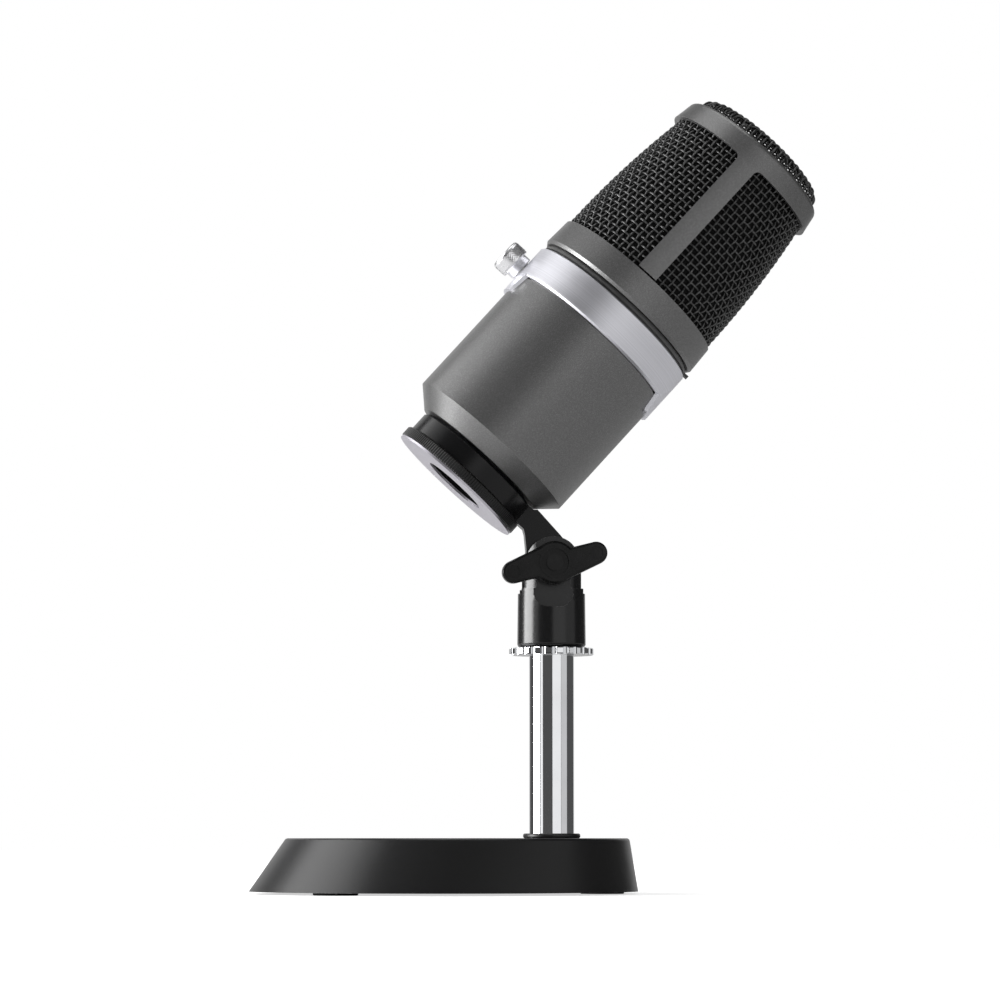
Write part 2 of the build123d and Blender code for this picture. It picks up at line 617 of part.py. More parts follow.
def volume_control():
    box = block((-6.5, 6.5), (-6.5, 6.5), (21.5, 28.8))
    bush = tube(3.95, VOLUME_SHAFT_R + RUNNING_GAP, 28.8, 33.6)
    box -= rod(VOLUME_SHAFT_R + RUNNING_GAP, 26.0, 28.8)
    return box + bush


def volume_shaft():
    return rod(VOLUME_SHAFT_R, 26.3, VOLUME_FAR - 2.0)


def volume_knob():
    neck = rod(VOLUME_NECK_R, VOLUME_NEAR, VOLUME_NECK_FAR + 0.2)
    head = rod(VOLUME_R, VOLUME_NECK_FAR, VOLUME_FAR)
    head = chamfer(head.edges().sort_by(Axis.Z)[-1], 0.7)
    cutter = Rot(0, 0, 45) * Box(0.45, 0.45, 3.6)
    for i in range(VOLUME_RIBS):
        place = Pos(VOLUME_R, 0, VOLUME_NECK_FAR + 2.6)
        head -= Rot(0, 0, 360 / VOLUME_RIBS * i) * place * cutter
    return neck + head - rod(VOLUME_SHAFT_R, VOLUME_NEAR, VOLUME_FAR - 2.0)


# ---------------------------------------------------------------- all of it

front_axis = Pos(0, 0, VOLUME_HEIGHT) * Rot(0, -90, 0)

placed = [
    (at_pole, (base_casting, base_plate, base_plate_screws, rubber_feet, pole_foot_ring,
               pole_tube, pole_foot_plug, pole_washer, pole_bolt, pole_stud, lock_ring,
               clevis, clevis_insert)),
    (at_hinge, (hinge_nut, friction_washers, wing_knob, hinge_bolt)),
    (in_microphone, (support_arm, clamp_nut, nut_face_plate, threaded_neck, neck_screws,
                     connector_plate, usb_socket, headphone_jack, socket_board, body_shell,
                     chassis, main_board, board_screws, trim_band, gasket_ring,
                     grille_base_ring, grille_frame, side_mesh, top_mesh, mesh_retainer,
                     foam_liner, capsule_mount, capsule_body, capsule_diaphragm,
                     capsule_clamp_ring, capsule_leads)),
    (in_microphone * front_axis, (volume_control, volume_shaft, volume_knob)),
]

os.makedirs("parts", exist_ok=True)
for place, makers in placed:
    for make in makers:
        export_step(place * make(), f"parts/{make.__name__}.step")
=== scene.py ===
import json
from math import cos, pi, radians, sin, sqrt

import bmesh
import bpy
from mathutils import Matrix, Vector


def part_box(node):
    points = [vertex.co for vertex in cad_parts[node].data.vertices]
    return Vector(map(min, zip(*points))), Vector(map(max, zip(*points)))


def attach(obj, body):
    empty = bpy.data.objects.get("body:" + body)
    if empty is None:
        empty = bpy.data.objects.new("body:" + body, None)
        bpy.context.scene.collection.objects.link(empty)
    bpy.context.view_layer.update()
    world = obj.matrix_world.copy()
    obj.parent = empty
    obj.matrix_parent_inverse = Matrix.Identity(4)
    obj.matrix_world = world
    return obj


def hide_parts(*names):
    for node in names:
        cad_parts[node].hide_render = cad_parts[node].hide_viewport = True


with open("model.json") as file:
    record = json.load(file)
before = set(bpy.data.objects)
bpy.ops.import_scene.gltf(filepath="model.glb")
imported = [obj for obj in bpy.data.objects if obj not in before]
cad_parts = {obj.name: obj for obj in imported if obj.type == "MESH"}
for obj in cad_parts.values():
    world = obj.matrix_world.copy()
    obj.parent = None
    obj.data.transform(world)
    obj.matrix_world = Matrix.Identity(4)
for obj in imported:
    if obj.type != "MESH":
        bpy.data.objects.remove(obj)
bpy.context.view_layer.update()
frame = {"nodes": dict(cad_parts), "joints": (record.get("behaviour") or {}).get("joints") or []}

# A desktop microphone on a table stand. Everything is in metres, in the frame of the CAD model:
# +Z up, the table at Z = 0, the microphone leaning back towards +X, its wing knob facing -Y.

MM = 0.001


# ================================================================ places

def joint(name):
    return next(j for j in frame["joints"] if j["name"] == name)


ROLL = joint("microphone_roll")
VOLUME = joint("volume_turn")
MIC_AXIS = Vector(ROLL["axis"]).normalized()      # up along the microphone
MIC_SIDE = Vector((0, 1, 0))
MIC_BACK = MIC_SIDE.cross(MIC_AXIS).normalized()  # away from its front, where the knob is
ROLL_POINT = Vector(ROLL["pos_m"])
TILT = MIC_AXIS.angle(Vector((0, 0, 1)))
VOLUME_POINT = Vector(VOLUME["pos_m"])
VOLUME_AXIS = Vector(VOLUME["axis"]).normalized()  # out of the microphone's front


def axis_place(point):
    """Height along the microphone's axis and distance from it, for a point in the row's frame."""
    offset = Vector(point) - ROLL_POINT
    height = offset.dot(MIC_AXIS)
    return height, (offset - MIC_AXIS * height).length


def mic_matrix():
    """Stands a mesh drawn upright about Z on the microphone's axis; its -X becomes the front."""
    turn = Matrix((MIC_BACK, MIC_SIDE, MIC_AXIS)).transposed().to_4x4()
    return Matrix.Translation(ROLL_POINT) @ turn


def volume_matrix():
    """Stands a mesh drawn upright about Z on the volume knob's axis."""
    turn = VOLUME_AXIS.to_track_quat("Z", "Y").to_matrix().to_4x4()
    return Matrix.Translation(VOLUME_POINT) @ turn


# ================================================================ node building

def link(tree, source, target):
    tree.links.new(source, target)


def fill(tree, socket, value):
    """Links an input to another node's output, or gives it a value."""
    if isinstance(value, bpy.types.NodeSocket):
        link(tree, value, socket)
    else:
        socket.default_value = value


def put(tree, kind, inputs=None, **settings):
    """Adds a node, sets its options, and fills its inputs with values or links."""
    made = tree.nodes.new(kind)
    for name, value in settings.items():
        setattr(made, name, value)
    for name, value in (inputs or {}).items():
        fill(tree, made.inputs[name], value)
    return made


def math_node(tree, operation, first, second=0.5):
    return put(tree, "ShaderNodeMath", {0: first, 1: second}, operation=operation).outputs[0]


def ramp(tree, factor, stops):
    """A colour ramp over (position, grey) stops; gives its colour."""
    made = put(tree, "ShaderNodeValToRGB", {"Fac": factor})
    elements = made.color_ramp.elements
    while len(elements) < len(stops):
        elements.new(0.5)
    for element, (position, grey) in zip(elements, stops):
        element.position = position
        element.color = (grey, grey, grey, 1)
    return made.outputs["Color"]


# Where a Mix node keeps its colour sockets
MIX_FACTOR, MIX_LOW, MIX_HIGH, MIX_RESULT = 0, 6, 7, 2


def blend_colours(tree, factor, low, high):
    made = put(tree, "ShaderNodeMix", {MIX_FACTOR: factor}, data_type="RGBA")
    fill(tree, made.inputs[MIX_LOW], low)
    fill(tree, made.inputs[MIX_HIGH], high)
    return made.outputs[MIX_RESULT]


def new_group(name, inputs, outputs):
    """An empty shader node group with named sockets; gives the group, its input and output nodes."""
    group = bpy.data.node_groups.new(name, "ShaderNodeTree")
    kinds = {"value": "NodeSocketFloat", "colour": "NodeSocketColor", "vector": "NodeSocketVector"}
    for label, (kind, default) in inputs.items():
        socket = group.interface.new_socket(label, in_out="INPUT", socket_type=kinds[kind])
        if default is not None:
            socket.default_value = default
    for label, kind in outputs.items():
        group.interface.new_socket(label, in_out="OUTPUT", socket_type=kinds[kind])
    return group, group.nodes.new("NodeGroupInput"), group.nodes.new("NodeGroupOutput")


# ---------------------------------------------------------------- shared effects

def make_paint_grain():
    """Fine pebbled paint: a height for the bump and a mask that spreads the roughness."""
    group, given, out = new_group(
        "paint_grain",
        {"Grain Size": ("value", 0.4 * MM), "Waviness": ("value", 0.3)},
        {"Height": "value", "Mask": "value"},
    )
    place = put(group, "ShaderNodeTexCoord").outputs["Object"]
    scale = math_node(group, "DIVIDE", 1.0, given.outputs["Grain Size"])
    fine = put(group, "ShaderNodeTexNoise", {"Vector": place, "Scale": scale, "Detail": 2.5})
    broad_scale = math_node(group, "MULTIPLY", scale, 0.05)
    broad = put(group, "ShaderNodeTexNoise", {"Vector": place, "Scale": broad_scale, "Detail": 2})
    wave = math_node(group, "MULTIPLY", broad.outputs["Fac"], given.outputs["Waviness"])
    link(group, math_node(group, "ADD", fine.outputs["Fac"], wave), out.inputs["Height"])
    link(group, fine.outputs["Fac"], out.inputs["Mask"])
    return group


def make_flake():
    """Metal flake in paint: small cells, a few of them bright."""
    group, given, out = new_group(
        "metal_flake",
        {"Flake Size": ("value", 0.25 * MM), "Share": ("value", 0.35)},
        {"Mask": "value"},
    )
    place = put(group, "ShaderNodeTexCoord").outputs["Object"]
    scale = math_node(group, "DIVIDE", 1.0, given.outputs["Flake Size"])
    cells = put(group, "ShaderNodeTexVoronoi", {"Vector": place, "Scale": scale})
    grey = put(group, "ShaderNodeSeparateColor", {"Color": cells.outputs["Color"]}).outputs[0]
    edge = math_node(group, "SUBTRACT", 1.0, given.outputs["Share"])
    made = put(group, "ShaderNodeMapRange", {"Value": grey, "From Min": edge, "From Max": 1.0})
    link(group, made.outputs["Result"], out.inputs["Mask"])
    return group


def make_edge_wear():
    """Bare edges: where a rounded-off normal leaves the surface's own, broken up by noise."""
    group, given, out = new_group(
        "edge_wear",
        {"Width": ("value", 0.35 * MM), "Break Up": ("value", 900.0)},
        {"Mask": "value"},
    )
    place = put(group, "ShaderNodeTexCoord").outputs["Object"]
    rounded = put(group, "ShaderNodeBevel", {"Radius": given.outputs["Width"]}, samples=6)
    own = put(group, "ShaderNodeNewGeometry").outputs["Normal"]
    alike = put(group, "ShaderNodeVectorMath", {0: rounded.outputs["Normal"], 1: own},
                operation="DOT_PRODUCT").outputs["Value"]
    edge = put(group, "ShaderNodeMapRange",
               {"Value": alike, "From Min": 0.985, "From Max": 0.93})
    noise = put(group, "ShaderNodeTexNoise",
                {"Vector": place, "Scale": given.outputs["Break Up"], "Detail": 3.0})
    broken = put(group, "ShaderNodeMapRange",
                 {"Value": noise.outputs["Fac"], "From Min": 0.45, "From Max": 0.65})
    mask = math_node(group, "MULTIPLY", edge.outputs["Result"], broken.outputs["Result"])
    link(group, mask, out.inputs["Mask"])
    return group


def make_smudge():
    """Handling marks: soft patches that dull a polished surface."""
    group, given, out = new_group(
        "smudge",
        {"Patch Size": ("value", 12 * MM), "Least": ("value", 0.03), "Most": ("value", 0.1)},
        {"Roughness": "value", "Mask": "value"},
    )
    place = put(group, "ShaderNodeTexCoord").outputs["Object"]
    scale = math_node(group, "DIVIDE", 1.0, given.outputs["Patch Size"])
    noise = put(group, "ShaderNodeTexNoise",
                {"Vector": place, "Scale": scale, "Detail": 5.0, "Roughness": 0.62})
    patch = put(group, "ShaderNodeMapRange",
                {"Value": noise.outputs["Fac"], "From Min": 0.4, "From Max": 0.7})
    level = put(group, "ShaderNodeMapRange",
                {"Value": patch.outputs["Result"], "To Min": given.outputs["Least"],
                 "To Max": given.outputs["Most"]})
    link(group, level.outputs["Result"], out.inputs["Roughness"])
    link(group, patch.outputs["Result"], out.inputs["Mask"])
    return group


def make_turned_lines():
    """Lathe or brush lines that run round an axis: noise stretched along the turning direction."""
    group, given, out = new_group(
        "turned_lines",
        {"Point": ("vector", None), "Line Pitch": ("value", 0.12 * MM)},
        {"Height": "value", "Mask": "value"},
    )
    parts = put(group, "ShaderNodeSeparateXYZ", {"Vector": given.outputs["Point"]})
    flat = put(group, "ShaderNodeCombineXYZ", {"X": parts.outputs["X"], "Y": parts.outputs["Y"]})
    radius = put(group, "ShaderNodeVectorMath", {0: flat.outputs[0]}, operation="LENGTH")
    scale = math_node(group, "DIVIDE", 1.0, given.outputs["Line Pitch"])
    ring = put(group, "ShaderNodeCombineXYZ",
               {"X": math_node(group, "MULTIPLY", radius.outputs["Value"], scale),
                "Y": math_node(group, "MULTIPLY", parts.outputs["Z"], scale)})
    lines = put(group, "ShaderNodeTexNoise",
                {"Vector": ring.outputs[0], "Scale": 1.0, "Detail": 3.0})
    link(group, lines.outputs["Fac"], out.inputs["Height"])
    soft = put(group, "ShaderNodeMapRange",
               {"Value": lines.outputs["Fac"], "From Min": 0.3, "From Max": 0.7})
    link(group, soft.outputs["Result"], out.inputs["Mask"])
    return group


def make_mic_point():
    """The shaded point in the microphone's own upright frame."""
    group, _, out = new_group("microphone_point", {}, {"Point": "vector"})
    place = put(group, "ShaderNodeTexCoord").outputs["Object"]
    shifted = put(group, "ShaderNodeVectorMath", {0: place, 1: tuple(ROLL_POINT)},
                  operation="SUBTRACT")
    turned = put(group, "ShaderNodeVectorRotate",
                 {"Vector": shifted.outputs[0], "Axis": (0, 1, 0), "Angle": -TILT},
                 rotation_type="AXIS_ANGLE")
    link(group, turned.outputs[0], out.inputs["Point"])
    return group


GRAIN = make_paint_grain()
FLAKE = make_flake()
WEAR = make_edge_wear()
SMUDGE = make_smudge()
LINES = make_turned_lines()
MIC_POINT = make_mic_point()


def effect(tree, group, **inputs):
    """Places a shared effect; its inputs are given with _ for spaces."""
    made = put(tree, "ShaderNodeGroup", node_tree=group)
    for name, value in inputs.items():
        fill(tree, made.inputs[name.replace("_", " ")], value)
    return made.outputs


# ================================================================ materials

def grey(level, blue=0.0):
    return (level, level, level * (1 + blue), 1)


def start_material(name, **constants):
    """A Principled material whose constants sit on its own sockets."""
    material = bpy.data.materials.new(name)
    material.use_nodes = True
    tree = material.node_tree
    shader = tree.nodes["Principled BSDF"]
    for label, value in constants.items():
        shader.inputs[label.replace("_", " ")].default_value = value
    return material, tree, shader


def bump(tree, shader, height, depth):
    made = put(tree, "ShaderNodeBump", {"Height": height, "Distance": depth})
    link(tree, made.outputs["Normal"], shader.inputs["Normal"])


def spread(tree, mask, low, high):
    return put(tree, "ShaderNodeMapRange", {"Value": mask, "To Min": low, "To Max": high}).outputs[0]


def painted(name, colour, worn, roughness, grain=0.35 * MM, depth=0.02 * MM, width=0.3 * MM,
            **constants):
    """Paint over metal, with grain in its gloss and bare edges."""
    material, tree, shader = start_material(name, **constants)
    pebble = effect(tree, GRAIN, Grain_Size=grain, Waviness=0.3)
    bare = effect(tree, WEAR, Width=width)
    tone = blend_colours(tree, pebble["Mask"], colour, [c * 1.25 for c in colour[:3]] + [1])
    link(tree, blend_colours(tree, bare["Mask"], tone, worn), shader.inputs["Base Color"])
    link(tree, spread(tree, pebble["Mask"], roughness - 0.06, roughness + 0.06),
         shader.inputs["Roughness"])
    bump(tree, shader, pebble["Height"], depth)
    return material


def gunmetal(name, colour, flake_colour, roughness):
    """Satin metallic paint with flake."""
    material, tree, shader = start_material(name, Metallic=0.72, Specular_IOR_Level=0.5)
    flake = effect(tree, FLAKE, Flake_Size=0.14 * MM, Share=0.4)
    pebble = effect(tree, GRAIN, Grain_Size=0.2 * MM, Waviness=0.3)
    bare = effect(tree, WEAR, Width=0.25 * MM)
    tone = blend_colours(tree, flake["Mask"], colour, flake_colour)
    link(tree, blend_colours(tree, bare["Mask"], tone, grey(0.35)), shader.inputs["Base Color"])
    link(tree, spread(tree, pebble["Mask"], roughness - 0.07, roughness + 0.07),
         shader.inputs["Roughness"])
    bump(tree, shader, pebble["Height"], 0.003 * MM)
    return material


def polished(name, colour, least, most):
    """Plated metal with handling marks."""
    material, tree, shader = start_material(name, Metallic=1.0)
    marks = effect(tree, SMUDGE, Least=least, Most=most)
    dull = [c * 0.94 for c in colour[:3]] + [1]
    link(tree, blend_colours(tree, marks["Mask"], colour, dull), shader.inputs["Base Color"])
    link(tree, marks["Roughness"], shader.inputs["Roughness"])
    waves = effect(tree, GRAIN, Grain_Size=1.5 * MM, Waviness=0.6)
    bump(tree, shader, waves["Height"], 0.0008 * MM)
    return material


def turned_metal(name, colour, roughness, pitch=0.1 * MM, depth=0.004 * MM, upright=False):
    """Bare metal with fine lines that run round its axis."""
    material, tree, shader = start_material(name, Metallic=1.0)
    if upright:
        point = put(tree, "ShaderNodeTexCoord").outputs["Object"]
    else:
        point = effect(tree, MIC_POINT)["Point"]
    lines = effect(tree, LINES, Point=point, Line_Pitch=pitch)
    pebble = effect(tree, GRAIN, Grain_Size=0.25 * MM, Waviness=0.2)
    dark = [c * 0.86 for c in colour[:3]] + [1]
    link(tree, blend_colours(tree, lines["Mask"], dark, colour), shader.inputs["Base Color"])
    mixed = math_node(tree, "MULTIPLY", lines["Mask"], pebble["Mask"])
    link(tree, spread(tree, mixed, roughness - 0.08, roughness + 0.12), shader.inputs["Roughness"])
    bump(tree, shader, lines["Height"], depth)
    return material


def moulded(name, colour, roughness, grain=0.5 * MM, depth=0.01 * MM, **constants):
    """Moulded plastic or rubber: fine texture, faint scuffs."""
    material, tree, shader = start_material(name, **constants)
    pebble = effect(tree, GRAIN, Grain_Size=grain, Waviness=0.4)
    marks = effect(tree, SMUDGE, Patch_Size=9 * MM, Least=0.0, Most=1.0)
    scuffed = [min(1, c * 1.5 + 0.004) for c in colour[:3]] + [1]
    link(tree, blend_colours(tree, marks["Mask"], colour, scuffed), shader.inputs["Base Color"])
    link(tree, spread(tree, pebble["Mask"], roughness - 0.07, roughness + 0.07),
         shader.inputs["Roughness"])
    bump(tree, shader, pebble["Height"], depth)
    return material


def ribbed(name, colour, roughness, ribs):
    """Moulded plastic with fine grip ribs round the microphone's axis."""
    material = moulded(name, colour, roughness, depth=0.004 * MM, Specular_IOR_Level=0.35)
    tree = material.node_tree
    parts = put(tree, "ShaderNodeSeparateXYZ", {"Vector": effect(tree, MIC_POINT)["Point"]})
    angle = math_node(tree, "ARCTAN2", parts.outputs["Y"], parts.outputs["X"])
    wave = math_node(tree, "SINE", math_node(tree, "MULTIPLY", angle, float(ribs)))
    made = put(tree, "ShaderNodeBump", {"Height": wave, "Strength": 0.8, "Distance": 0.12 * MM})
    link(tree, made.outputs["Normal"], tree.nodes["Bump"].inputs["Normal"])
    return material


def wire_black(name):
    """Blackened steel wire, bare on its crowns."""
    material, tree, shader = start_material(name, Metallic=0.55)
    pebble = effect(tree, GRAIN, Grain_Size=0.15 * MM, Waviness=0.3)
    place = effect(tree, MIC_POINT)["Point"]
    scuff = put(tree, "ShaderNodeTexNoise", {"Vector": place, "Scale": 1300.0, "Detail": 2.0})
    bare = spread(tree, scuff.outputs["Fac"], -0.5, 0.9)
    tone = blend_colours(tree, pebble["Mask"], grey(0.035), grey(0.075))
    link(tree, blend_colours(tree, bare, tone, grey(0.24)), shader.inputs["Base Color"])
    link(tree, spread(tree, pebble["Mask"], 0.28, 0.42), shader.inputs["Roughness"])
    bump(tree, shader, pebble["Height"], 0.006 * MM)
    return material


def open_foam(name):
    """Dark open-cell foam."""
    material, tree, shader = start_material(name, Specular_IOR_Level=0.1)
    place = put(tree, "ShaderNodeTexCoord").outputs["Object"]
    cells = put(tree, "ShaderNodeTexVoronoi", {"Vector": place, "Scale": 1400.0})
    tone = ramp(tree, cells.outputs["Distance"], [(0.0, 0.003), (0.6, 0.012)])
    link(tree, tone, shader.inputs["Base Color"])
    link(tree, spread(tree, cells.outputs["Distance"], 0.85, 1.0), shader.inputs["Roughness"])
    bump(tree, shader, cells.outputs["Distance"], 0.4 * MM)
    return material


def circuit_board(name):
    """Green solder mask over copper tracks."""
    material, tree, shader = start_material(name, Coat_Weight=0.4, Coat_Roughness=0.2)
    place = put(tree, "ShaderNodeTexCoord").outputs["Object"]
    tracks = put(tree, "ShaderNodeTexBrick",
                 {"Vector": place, "Scale": 220.0, "Mortar Size": 0.06,
                  "Color1": (0.02, 0.16, 0.08, 1), "Color2": (0.02, 0.13, 0.07, 1),
                  "Mortar": (0.05, 0.28, 0.12, 1)})
    link(tree, tracks.outputs["Color"], shader.inputs["Base Color"])
    link(tree, spread(tree, tracks.outputs["Fac"], 0.35, 0.5), shader.inputs["Roughness"])
    bump(tree, shader, tracks.outputs["Fac"], 0.03 * MM)
    return material


def dress(node, material):
    """Gives a carried-over CAD node its material."""
    mesh = frame["nodes"][node].data
    mesh.materials.clear()
    mesh.materials.append(material)


CHROME = polished("bright_chrome", (0.90, 0.91, 0.93, 1), 0.02, 0.07)
KNOB_CHROME = polished("knob_chrome", (0.95, 0.95, 0.97, 1), 0.24, 0.36)
MESH_WIRE = wire_black("blackened_wire")

FINISHES = {
    "base_casting": painted("base_satin_black", grey(0.007, 0.06), grey(0.12), 0.33,
                            grain=0.35 * MM, depth=0.012 * MM, Specular_IOR_Level=0.45),
    "base_plate": painted("ballast_black", grey(0.03), grey(0.2), 0.55, grain=0.6 * MM),
    "base_plate_screws": turned_metal("black_oxide", grey(0.09), 0.45, upright=True),
    "rubber_feet": moulded("foot_rubber", grey(0.02), 0.8, depth=0.03 * MM),
    "pole_foot_ring": moulded("collar_black", grey(0.012), 0.35),
    "pole_tube": CHROME,
    "pole_stud": turned_metal("stud_steel", grey(0.6), 0.3, upright=True),
    "lock_ring": CHROME,
    "clevis": painted("clevis_gloss_black", grey(0.005, 0.08), grey(0.2), 0.23,
                      grain=0.9 * MM, depth=0.0015 * MM, width=0.2 * MM),
    "clevis_insert": turned_metal("insert_brass", (0.78, 0.57, 0.25, 1), 0.3, upright=True),
    "hinge_nut": turned_metal("nut_steel", grey(0.62), 0.28, upright=True),
    "friction_washers": moulded("washer_nylon", (0.7, 0.69, 0.63, 1), 0.5),
    "wing_knob": moulded("knob_black_plastic", grey(0.005), 0.22, grain=0.6 * MM,
                         depth=0.002 * MM, Specular_IOR_Level=0.22),
    "support_arm": painted("arm_gloss_black", grey(0.006, 0.06), grey(0.16), 0.24,
                           grain=0.6 * MM, depth=0.0015 * MM, width=0.15 * MM,
                           Specular_IOR_Level=0.28),
    "clamp_nut": ribbed("nut_black_plastic", grey(0.008), 0.34, 170),
    "nut_face_plate": turned_metal("nut_face_metal", (0.66, 0.64, 0.70, 1), 0.42,
                                   pitch=0.15 * MM),
    "threaded_neck": turned_metal("neck_black_anodised", grey(0.03), 0.35),
    "connector_plate": moulded("connector_black", grey(0.01), 0.5),
    "usb_socket": turned_metal("socket_steel", grey(0.7), 0.25),
    "main_board": circuit_board("board_green"),
    "body_shell": gunmetal("shell_gunmetal", grey(0.165), grey(0.27), 0.38),
    "chassis": moulded("chassis_plastic", grey(0.04), 0.6),
    "trim_band": turned_metal("band_silver", (0.85, 0.85, 0.9, 1), 0.46, pitch=0.2 * MM,
                              depth=0.002 * MM),
    "gasket_ring": moulded("gasket_rubber", grey(0.06), 0.5),
    "grille_base_ring": gunmetal("grille_gunmetal", grey(0.165), grey(0.28), 0.4),
    "foam_liner": open_foam("filter_foam"),
    "capsule_mount": moulded("mount_rubber", grey(0.03), 0.7),
    "capsule_body": turned_metal("capsule_brass", (0.75, 0.55, 0.25, 1), 0.25),
    "capsule_diaphragm": turned_metal("diaphragm_gold", (0.9, 0.68, 0.3, 1), 0.15),
    "capsule_leads": moulded("lead_red", (0.35, 0.02, 0.02, 1), 0.4),
    "volume_shaft": turned_metal("shaft_steel", grey(0.62), 0.3),
}
# Nodes with the same finish as another
SHARED = {
    "pole_foot_plug": "pole_stud", "pole_washer": "base_plate_screws",
    "pole_bolt": "base_plate_screws", "hinge_bolt": "hinge_nut",
    "headphone_jack": "connector_plate", "volume_control": "connector_plate",
    "neck_screws": "usb_socket", "board_screws": "usb_socket", "socket_board": "main_board",
    "grille_frame": "grille_base_ring", "mesh_retainer": "chassis",
    "capsule_clamp_ring": "capsule_body",
}

for node_name, finish in FINISHES.items():
    dress(node_name, finish)
for node_name, like in SHARED.items():
    dress(node_name, FINISHES[like])


# ================================================================ mesh building

def new_piece(name, mesh_builder, material, body, nodes, place):
    """Makes a smooth object from a bmesh, gives it a finish and puts it on its body."""
    bm = bmesh.new()
    mesh_builder(bm)
    bmesh.ops.recalc_face_normals(bm, faces=bm.faces)
    mesh = bpy.data.meshes.new(name)
    bm.to_mesh(mesh)
    bm.free()
    mesh.transform(place)
    mesh.materials.append(material)
    for polygon in mesh.polygons:
        polygon.use_smooth = True
    piece = bpy.data.objects.new(name, mesh)
    bpy.context.scene.collection.objects.link(piece)
    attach(piece, body)
    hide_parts(*nodes)


WIRE_SIDES = 6
OFF_AXIS = Vector((0.31, 0.17, 0.93))  # a direction that no wire runs along


def add_wire(bm, points, radius, closed=False):
    """A round wire through points, with capped ends unless it closes on itself."""
    count = len(points)
    rings = []
    for i, point in enumerate(points):
        before = points[i - 1] if i or closed else points[i]
        after = points[(i + 1) % count] if i < count - 1 or closed else points[i]
        run = (after - before).normalized()
        side = run.cross(OFF_AXIS).normalized()
        other = run.cross(side)
        turns = [2 * pi * k / WIRE_SIDES for k in range(WIRE_SIDES)]
        rings.append([bm.verts.new(point + (side * cos(t) + other * sin(t)) * radius)
                      for t in turns])
    joins = range(count) if closed else range(count - 1)
    for i in joins:
        low, high = rings[i], rings[(i + 1) % count]
        for k in range(WIRE_SIDES):
            after = (k + 1) % WIRE_SIDES
            bm.faces.new((low[k], low[after], high[after], high[k]))
    if not closed:
        bm.faces.new(rings[0])
        bm.faces.new(list(reversed(rings[-1])))


# ---------------------------------------------------------------- woven grille

WIRE_R = 0.36 * MM
WIRE_PITCH = 2.44 * MM
STEPS, HOOP_STEPS = 6, 5   # points for each pitch, in an upright or crossing wire and in a hoop
WEAVE_SWING = 0.38 * MM    # how far a wire leaves the middle of the weave


def outer_profile(node):
    """A node's lowest and highest height on the axis, and its outer radius by height."""
    widest = {}
    for vertex in frame["nodes"][node].data.vertices:
        height, radius = axis_place(vertex.co)
        key = round(height, 5)
        widest[key] = max(widest.get(key, 0.0), radius)
    inner_limit = 0.88 * max(widest.values())
    outer = [(h, r) for h, r in sorted(widest.items()) if r > inner_limit]

    def radius_at(height):
        if height <= outer[0][0]:
            return outer[0][1]
        for (h0, r0), (h1, r1) in zip(outer, outer[1:]):
            if height <= h1:
                return r0 + (r1 - r0) * (height - h0) / (h1 - h0)
        return outer[-1][1]

    return min(widest), max(widest), radius_at


def side_weave(bm):
    """Wires up the barrel and hoops round it, each over and under the next."""
    low, high, radius_at = outer_profile("side_mesh")
    middle = WIRE_R + WEAVE_SWING

    def on_barrel(radius, angle, height):
        return Vector((radius * cos(angle), radius * sin(angle), height))

    uprights = 2 * round(pi * (radius_at(low) + radius_at(high)) / 2 / WIRE_PITCH)
    hoops = int((high - low) / WIRE_PITCH)
    for i in range(uprights):
        angle = 2 * pi * i / uprights
        points = []
        for k in range(hoops * STEPS + 1):
            height = low + WIRE_PITCH * k / STEPS
            r = radius_at(height) - middle + WEAVE_SWING * cos(pi * (k / STEPS - 0.5 + i))
            points.append(on_barrel(r, angle, height))
        add_wire(bm, points, WIRE_R)
    around = uprights * HOOP_STEPS
    for j in range(hoops):
        height = low + WIRE_PITCH * (j + 0.5)
        points = []
        for k in range(around):
            r = radius_at(height) - middle - WEAVE_SWING * cos(pi * (k / HOOP_STEPS + j))
            points.append(on_barrel(r, 2 * pi * k / around, height))
        add_wire(bm, points, WIRE_R, closed=True)


CROWN_EDGE = 3.2 * MM      # radius of the rounding between the crown and its rim
CROWN_SLOPE = radians(13)  # where the crown meets that rounding


